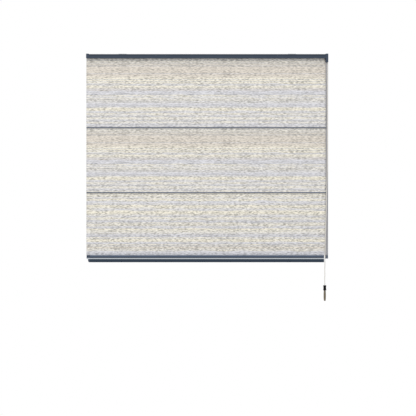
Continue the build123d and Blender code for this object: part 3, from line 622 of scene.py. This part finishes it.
# %% [markdown]
# ## Lining
# The lining is a pale slate-grey plain weave that hangs behind the face cloth and shows as a narrow
# strip past its right edge, with a short tongue beside the bottom rail. It is a second sheet,
# drawn in the same way, that bellies back a little between the battens. Its threads are 0.4 mm
# apart, drawn at 1.6 mm so that the weave can be seen, with long faint streaks down the warp.

# %% Plain weave
THREAD, THREAD_SHARE = 1.6 * MM, 0.25
WARP_STREAK = (4 * MM, 400 * MM)


def woven(tree, place, pitch):
    crossing = add(tree, "Mapping", {"Vector": place, "Scale": (math.tau / pitch, math.tau / pitch, 1)})
    parts = add(tree, "SeparateXYZ", {0: crossing.outputs[0]})
    waves = [add(tree, "Math", {0: parts.outputs[i]}, operation="SINE").outputs[0] for i in (0, 1)]
    return add(tree, "Math", {0: waves[0], 1: waves[1]}, operation="MULTIPLY").outputs[0]


# Matt polyester: two close greys cross, so it looks even from afar and woven from near
plain_weave, tree, shader = finish_named("plain_weave_polyester", Roughness=0.85, Sheen_Weight=0.2, IOR=1.53)
place = add(tree, "TexCoord").outputs["UV"]
threads = woven(tree, place, THREAD)
slack = streaks(tree, place, WARP_STREAK, seed=5)
blend = add(tree, "Math", {0: threads, 1: THREAD_SHARE, 2: slack}, operation="MULTIPLY_ADD")
colour = add(tree, "Mix", {0: blend.outputs[0], 6: linear("#a3a4aa"), 7: linear("#b3b2b6")}, data_type="RGBA")
dress(tree, shader, colour.outputs[2], threads, strength=0.4, distance=0.3 * MM)
print(f"lining threads drawn every {THREAD / MM:.1f} mm")

# %% Lining
(LINING_LEFT, LINING_FRONT, TONGUE_END), (LINING_RIGHT, _, LINING_TOP) = box_mm("lining")
LINING_THICK, LINING_GAP = 0.6, 0.3
LINING_END = BAR_TOP + LINING_GAP
# How far the lining bellies, how unevenly, and how far from a fold it still lies flat
BELLY, UNEVEN, SEWN = 1.4, 0.4, 50.0
LINING_COLUMNS, LINING_ROWS = 83, 120


def lining_belly(x, z):
    # Nothing near the rail, the folds and the bar, and most half way between them
    stops = (RAIL_BOTTOM, *FOLDS, BAR_TOP)
    for high, low in zip(stops, stops[1:]):
        if z >= low:
            share = max(0, min(1, (high - SEWN - z) / (high - low - 2 * SEWN)))
            return BELLY * math.sin(math.pi * share) ** 2 * (1 - UNEVEN + UNEVEN * wave(x, z))
    return 0


front_points, back_points, uvs = [], [], []
for r in range(LINING_ROWS + 1):
    z = LINING_TOP + (LINING_END - LINING_TOP) * r / LINING_ROWS
    for c in range(LINING_COLUMNS + 1):
        x = LINING_LEFT + (LINING_RIGHT - LINING_LEFT) * c / LINING_COLUMNS
        back = LINING_FRONT + LINING_THICK + lining_belly(x, z)
        front_points.append(Vector((x, back - LINING_THICK, z)) * MM)
        back_points.append(Vector((x, back, z)) * MM)
        uvs.append((x * MM, -z * MM))
faces = sheet_faces(LINING_ROWS + 1, LINING_COLUMNS)
lining = mesh_piece("lining_cloth", front_points + back_points, faces, plain_weave, uvs * 2)
print(f"lining of {len(lining.data.polygons)} faces")

# %% [markdown]
# ## Fold tapes
# A navy woven tape binds the nose of each fold and shows as the two thin dark lines across the
# blind. It is a strip about 4 mm wide, turned under the fold. It is drawn as a small section
# with rounded edges, swept across the blind, and it moves with its fold. The same tape binds
# the short tongue at the lining's lower right corner.

# %% Woven tape
TWILL, TWILL_SLANT = 1.5 * MM, 0.8
# Cotton twill: matt navy, with fine slanting ribs 0.8 mm apart, drawn at 1.5 mm to show
twill, tree, shader = finish_named("cotton_twill_tape", Roughness=0.8, Sheen_Weight=0.25, IOR=1.5)
place = add(tree, "TexCoord").outputs["UV"]
leaning = add(tree, "Mapping", {"Vector": place, "Rotation": (0, 0, TWILL_SLANT)}).outputs[0]
ribs = add(tree, "TexWave", {"Vector": leaning, "Scale": WAVE_UNIT / TWILL, "Distortion": 0.6}).outputs[1]
colour = add(tree, "Mix", {0: ribs, 6: linear("#525b6b"), 7: linear("#6b7484")}, data_type="RGBA")
dress(tree, shader, colour.outputs[2], ribs, strength=0.4, distance=0.2 * MM)
print(f"twill ribs drawn every {TWILL / MM:.1f} mm")

# %% Lining tongue
TONGUE_ROWS, TONGUE_COLUMNS = 6, 2
front_points, back_points, uvs = [], [], []
for r in range(TONGUE_ROWS + 1):
    z = LINING_END + (TONGUE_END - LINING_END) * r / TONGUE_ROWS
    for c in range(TONGUE_COLUMNS + 1):
        x = NOTCH_RIGHT + (LINING_RIGHT - NOTCH_RIGHT) * c / TONGUE_COLUMNS
        front_points.append(Vector((x, LINING_FRONT, z)) * MM)
        back_points.append(Vector((x, LINING_FRONT + LINING_THICK, z)) * MM)
        uvs.append((x * MM, -z * MM))
faces = sheet_faces(TONGUE_ROWS + 1, TONGUE_COLUMNS)
tongue = mesh_piece("lining_tongue", front_points + back_points, faces, twill, uvs * 2)
for piece in (lining, tongue):
    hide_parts("lining")
    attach(piece, "headrail")
    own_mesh(piece)
print(f"tongue ends {TONGUE_END} mm down")

# %% Strip swept across the blind
SWAY_SHORT, SWAY_LONG, SWAY_START = 23, 61, 0.7


def swept(name, section, left, right, steps, material, stray=0):
    # A closed section of (y, z) points carried from left to right, straying a little as cloth does
    points, uvs = [], []
    ring = len(section)
    around = [math.dist(section[k - 1], section[k]) if k else 0 for k in range(ring)]
    for i in range(steps + 1):
        x = left + (right - left) * i / steps
        sway = stray * math.sin(x / SWAY_SHORT) * math.sin(x / SWAY_LONG + SWAY_START)
        for k, (y, z) in enumerate(section):
            points.append(Vector((x, y + sway, z)) * MM)
            uvs.append((x * MM, sum(around[:k + 1]) * MM))
    return mesh_piece(name, points, tube_faces(0, steps + 1, ring), material, uvs)


print("swept() is ready for the tapes and the pockets")

# %% Fold tapes
TAPE_THICK, TAPE_PAST, TAPE_STEPS = 1.0, 0.7, 90


def tape_section(fold):
    # Down the front of the nose, round its lower edge and back under it
    outside, under = nose - TAPE_THICK, fold - TAPE_THICK
    return [
        (nose - 0.1, fold + 2.6), (nose - 0.5, fold + TAPE), (outside + 0.1, fold + 2.5),
        (outside, fold + 1.6), (outside, fold), (outside + 0.2, under + 0.3), (outside + 0.8, under),
        (FRONT - 0.9, under), (FRONT - 0.4, under + 0.4), (FRONT - 0.9, fold - 0.1),
        (nose + 0.2, fold - 0.1), (nose - 0.1, fold + 0.1),
    ]


for name, fold in zip(FOLD_NAMES, FOLDS):
    section, right = tape_section(fold), CLOTH_RIGHT + TAPE_PAST
    tape = swept(f"fold_tape_{name}", section, CLOTH_LEFT, right, TAPE_STEPS, twill)
    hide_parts(f"fold_binding_{name}")
    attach(tape, f"{name}_fold")
print("two fold tapes")

# %% [markdown]
# ## Batten pockets
# Behind each fold a pocket of lining cloth holds the batten that keeps the fold straight. It is
# a sewn tube: flat seams along its top and bottom, and a belly round the batten. Its section
# is swept across as the tape is, with a little stray, and a row of stitches runs along each seam.

# %% Batten pockets
POCKET_STEPS, POCKET_STRAY = 120, 0.05
(POCKET_LEFT, POCKET_FRONT, _), (POCKET_RIGHT, POCKET_BACK, _) = box_mm("rod_pocket_upper")
# The upper half of the section, as (y, height above the fold), from the seam to the belly
POCKET_HALF = [
    (POCKET_FRONT, 10.0), (-34.6, 10.0), (-33.2, 9.9), (-31.6, 9.5),
    (-30.8, 8.5), (-30.4, 6.5), (POCKET_BACK, 3.0),
]


def pocket_section(fold):
    return [(y, fold + z) for y, z in POCKET_HALF] + [(y, fold - z) for y, z in reversed(POCKET_HALF)]


for name, fold in zip(FOLD_NAMES, FOLDS):
    pocket = swept(
        f"batten_pocket_{name}", pocket_section(fold), POCKET_LEFT, POCKET_RIGHT,
        POCKET_STEPS, plain_weave, POCKET_STRAY,
    )
    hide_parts(f"rod_pocket_{name}")
    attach(pocket, f"{name}_fold")
print(f"two pockets {POCKET_RIGHT - POCKET_LEFT:.0f} mm long")

# %% Stitches
STITCH, STITCH_GAP, STITCH_R, STITCH_SIDES = 3.2, 1.6, 0.28, 6
SEAM_MARGIN, SEAM_Y, SEAM_HEIGHT = 4, -31.05, 8.9
# Places along a stitch, and how thick its thread is there
STITCH_RINGS = ((0, 0.35), (0.2, 1), (0.8, 1), (1, 0.35))


def stitch_row(points, faces, uvs, y, z):
    # Each stitch is a six-sided bead of thread, thin at its ends where it dips into the cloth
    count = int((POCKET_RIGHT - POCKET_LEFT - 2 * SEAM_MARGIN) / (STITCH + STITCH_GAP))
    for i in range(count):
        x = POCKET_LEFT + SEAM_MARGIN + i * (STITCH + STITCH_GAP)
        faces += tube_faces(len(points), len(STITCH_RINGS), STITCH_SIDES)
        for share, size in STITCH_RINGS:
            for k in range(STITCH_SIDES):
                turn = math.tau * k / STITCH_SIDES
                offset = Vector((0, math.cos(turn), math.sin(turn))) * STITCH_R * size
                points.append((Vector((x + STITCH * share, y, z)) + offset) * MM)
                uvs.append((x * MM, turn * STITCH_R * MM))
    return count


for name, fold in zip(FOLD_NAMES, FOLDS):
    points, faces, uvs = [], [], []
    made = [stitch_row(points, faces, uvs, SEAM_Y, fold + z) for z in (SEAM_HEIGHT, -SEAM_HEIGHT)]
    thread = mesh_piece(f"pocket_stitches_{name}", points, faces, braid, uvs)
    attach(thread, f"{name}_fold")
    print(f"{name}: {sum(made)} stitches")

# %% [markdown]
# ## Powder-coated aluminium
# Both rails are aluminium extrusions, sprayed with navy powder and baked. Baked powder is
# a satin plastic skin with a fine orange-peel surface of about 0.6 mm, drawn here at 1.5 mm. A little
# dust lies on what faces up. Each rail's colour is set by height, from its lower edge to its upper
# edge, with light and shade painted in. The head rail is painted darker towards its top as shade. The
# bottom rail's lower band is painted darker as shade, and its upper shoulder paler as a highlight.

# %% Powder coat
PEEL, CLOUD = 1.5 * MM, 40 * MM
THIN, THICK = 0.9, 1.1
# Dust lies where a face looks up by more than the first value, fully from the second
DUST_FROM, DUST_FULL, DUST_SHARE = 0.3, 0.9, 0.18


def powder_coat(name, painted_shading):
    # Satin and even, with faint clouds where the powder lay thicker, and painted shade and highlight set by
    # height
    material, tree, shader = finish_named(name, Roughness=0.5, IOR=1.5, Specular_IOR_Level=0.25)
    place = add(tree, "TexCoord").outputs["Object"]
    height = add(tree, "SeparateXYZ", {0: place}).outputs["Z"]
    low, high = painted_shading[0][0] * MM, painted_shading[-1][0] * MM
    risen = add(tree, "MapRange", {0: height, 1: low, 2: high}).outputs[0]
    stops = [((z * MM - low) / (high - low), linear(shade)) for z, shade in painted_shading]
    shaded_paint = colour_ramp(tree, risen, stops)
    cloud = add(tree, "TexNoise", {"Vector": place, "Scale": 1 / CLOUD, "Detail": 3.0})
    thickness = add(tree, "MapRange", {0: cloud.outputs[0], 3: THIN, 4: THICK})
    clouded = add(tree, "VectorMath", {0: shaded_paint.outputs[0], "Scale": thickness.outputs[0]}, operation="SCALE")
    up = add(tree, "SeparateXYZ", {0: add(tree, "NewGeometry").outputs["Normal"]}).outputs["Z"]
    dust = add(tree, "MapRange", {0: up, 1: DUST_FROM, 2: DUST_FULL, 3: 0.0, 4: DUST_SHARE}).outputs[0]
    coat = add(tree, "Mix", {0: dust, 6: clouded.outputs[0], 7: linear("#aab0b8")}, data_type="RGBA")
    peel = add(tree, "TexNoise", {"Vector": place, "Scale": 1 / PEEL, "Detail": 1.0})
    dress(tree, shader, coat.outputs[2], peel.outputs[0], strength=0.12, distance=0.1 * MM)
    return material


# Painted shade: the head rail is darker towards its top
HEAD_PAINTED_SHADE = [(RAIL_BOTTOM, "#3a4554"), (21, "#364150"), (27, "#2c3643"), (31, "#2b3441")]
head_coat_painted_shade = powder_coat("powder_coated_aluminium_head_painted_shade", HEAD_PAINTED_SHADE)
# Painted shade and highlight: the bottom rail's lower band is darker and its upper shoulder paler
BAR_PAINTED_SHADE_AND_HIGHLIGHT = [
    (-754.6, "#253343"), (-735.6, "#253343"), (-733, "#465266"), (-731, "#556175"), (BAR_TOP, "#707a8b"),
]
bar_coat_painted_light = powder_coat("powder_coated_aluminium_bar_painted_light", BAR_PAINTED_SHADE_AND_HIGHLIGHT)
print("powder coat on both rails")

# %% [markdown]
# ## Moulded plastics
# The end caps are navy ABS, the guides, wheels and rings white acetal, the joiner black nylon, the
# stripe pale vinyl and the battens fibreglass. Moulded plastic takes the mould's own finish, a fine
# spark texture of about 0.2 mm, drawn at 0.8 mm. One function makes them all, because
# they differ only in colour, gloss and grain.

# %% Moulded plastics
def moulded(name, colour, second, roughness, grain, ior, shine=0.35):
    # A plain body colour, painted a shade lighter as a highlight where the grain stands up
    material, tree, shader = finish_named(name, Roughness=roughness, IOR=ior, Specular_IOR_Level=shine)
    place = add(tree, "TexCoord").outputs["Object"]
    spark = add(tree, "TexNoise", {"Vector": place, "Scale": 1 / (grain * MM), "Detail": 2.0})
    body = add(tree, "Mix", {0: spark.outputs[0], 6: linear(colour), 7: linear(second)}, data_type="RGBA")
    dress(tree, shader, body.outputs[2], spark.outputs[0], strength=0.15, distance=0.05 * MM)
    return material


navy_abs = moulded("moulded_abs_navy", "#2b3748", "#364355", 0.55, 0.8, 1.54)
white_acetal = moulded("moulded_acetal_white", "#e3e2dd", "#efeeea", 0.35, 1.2, 1.48)
# Nylon filled with glass fibre: its skin is dull, so it stays black even in a white room
black_nylon = moulded("moulded_nylon_black", "#050506", "#0b0b0d", 0.7, 0.8, 1.53, 0.12)
pale_vinyl = moulded("extruded_vinyl_pale", "#b3b8bf", "#bfc4ca", 0.4, 3.0, 1.54)
fibreglass = moulded("pultruded_fibreglass", "#d8d6c8", "#e4e3d8", 0.4, 2.0, 1.55)
print("five plastics")

# %% [markdown]
# ## Metals
# The brackets and pins are zinc-plated steel, the ballast bar is drawn steel and the cam is brass.
# Drawing and plating leave fine lines along the metal, so the noise is stretched along x and
# changes the roughness, which a metal shows far more than its colour.

# %% Metals
LINE_LENGTH = 12 * MM


def drawn_metal(name, colour, second, rough_low, rough_high, line):
    # Bright and directional: streaks of sharper and softer reflection along the piece
    material, tree, shader = finish_named(name, Metallic=1.0)
    place = add(tree, "TexCoord").outputs["Object"]
    scale = (1 / LINE_LENGTH, 1 / (line * MM), 1 / (line * MM))
    stretched = add(tree, "Mapping", {"Vector": place, "Scale": scale}).outputs[0]
    lines = add(tree, "TexNoise", {"Vector": stretched, "Scale": 1.0, "Detail": 3.0})
    metal = add(tree, "Mix", {0: lines.outputs[0], 6: linear(colour), 7: linear(second)}, data_type="RGBA")
    tree.links.new(metal.outputs[2], shader.inputs["Base Color"])
    rough = add(tree, "MapRange", {0: lines.outputs[0], 3: rough_low, 4: rough_high})
    tree.links.new(rough.outputs[0], shader.inputs["Roughness"])
    return material


zinc_steel = drawn_metal("zinc_plated_steel", "#b9bbbd", "#cfd1d2", 0.28, 0.5, 0.8)
bare_steel = drawn_metal("drawn_steel", "#8f9092", "#a6a7a8", 0.3, 0.45, 0.5)
cam_brass = drawn_metal("machined_brass", "#b08d4c", "#c8a765", 0.25, 0.4, 0.4)
print("three metals")

# %% [markdown]
# ## Beech pull
# The pull is beech, turned on a lathe and stained grey-brown. Beech shows short dark flecks along
# its grain, about 3 mm long and 0.4 mm wide, drawn at 0.8 mm. The grain runs down the pull, so
# the noise is stretched along z.

# %% Stained beech
# Width and length of the grain and of the flecks, and how much the flecks count
GRAIN, GRAIN_FLECK, FLECK_SHARE = (1.6 * MM, 14 * MM), (0.8 * MM, 3 * MM), 0.4
STAIN_FROM, STAIN_TO = 0.45, 0.95

# Low sheen from a wiped stain; the grain takes more stain than the wood round it
beech, tree, shader = finish_named("stained_beech", Roughness=0.5, IOR=1.5)
place = add(tree, "TexCoord").outputs["Object"]
noises = []
for (width, length), detail in ((GRAIN, 3.0), (GRAIN_FLECK, 1.0)):
    way = add(tree, "Mapping", {"Vector": place, "Scale": (1 / width, 1 / width, 1 / length)}).outputs[0]
    noises.append(add(tree, "TexNoise", {"Vector": way, "Scale": 1.0, "Detail": detail}).outputs[0])
grain, flecks = noises
mixed = add(tree, "Math", {0: flecks, 1: FLECK_SHARE, 2: grain}, operation="MULTIPLY_ADD")
stain = add(tree, "MapRange", {0: mixed.outputs[0], 1: STAIN_FROM, 2: STAIN_TO})
wood = add(tree, "Mix", {0: stain.outputs[0], 6: linear("#524936"), 7: linear("#7b705d")}, data_type="RGBA")
dress(tree, shader, wood.outputs[2], grain, strength=0.2, distance=0.1 * MM)
print("beech for the pull")

# %% [markdown]
# ## Finishes on the hard parts
# The rails, caps, guides and pins came in with the frame and keep their shapes. Each takes
# its finish through its material slot, which leaves the mesh itself alone.

# %% Finishes on the hard parts
SIDE_NAMES = tuple(CORD_PLACES)
FINISHES = [
    (head_coat_painted_shade, ["head_rail"]),
    (bar_coat_painted_light, ["bottom_rail"]),
    (navy_abs, ["left_end_cap", "cord_lock_housing", "bottom_cap_left", "bottom_cap_right"]),
    (white_acetal, [f"{kind}_{s}" for kind in ("cord_guide", "pulley") for s in SIDE_NAMES]),
    (white_acetal, ["cord_rings_upper", "cord_rings_lower", "cord_anchors"]),
    (zinc_steel, ["mounting_bracket_left", "mounting_bracket_right", "lock_roller", "roller_pin", "cam_pin"]),
    (zinc_steel, [f"pulley_pin_{s}" for s in SIDE_NAMES]),
    (cam_brass, ["lock_cam"]),
    (bare_steel, ["ballast_bar", "cord_stops"]),
    (fibreglass, ["batten_upper", "batten_lower"]),
    (pale_vinyl, ["rail_stripe", "top_spline", "bottom_spline"]),
    (black_nylon, ["joiner_upper", "joiner_lower"]),
    (beech, ["tassel"]),
]
finished = set()
for material, names in FINISHES:
    for name in names:
        for slot in nodes[name].material_slots:
            slot.material = material
        finished.add(name)
shown = {name for name, piece in nodes.items() if not piece.hide_render}
print(f"{len(finished)} hard parts finished, left over: {sorted(shown - finished)}")

# %% [markdown]
# ## Last update
# The view layer is brought up to date once more.

# %% Last update
bpy.context.view_layer.update()
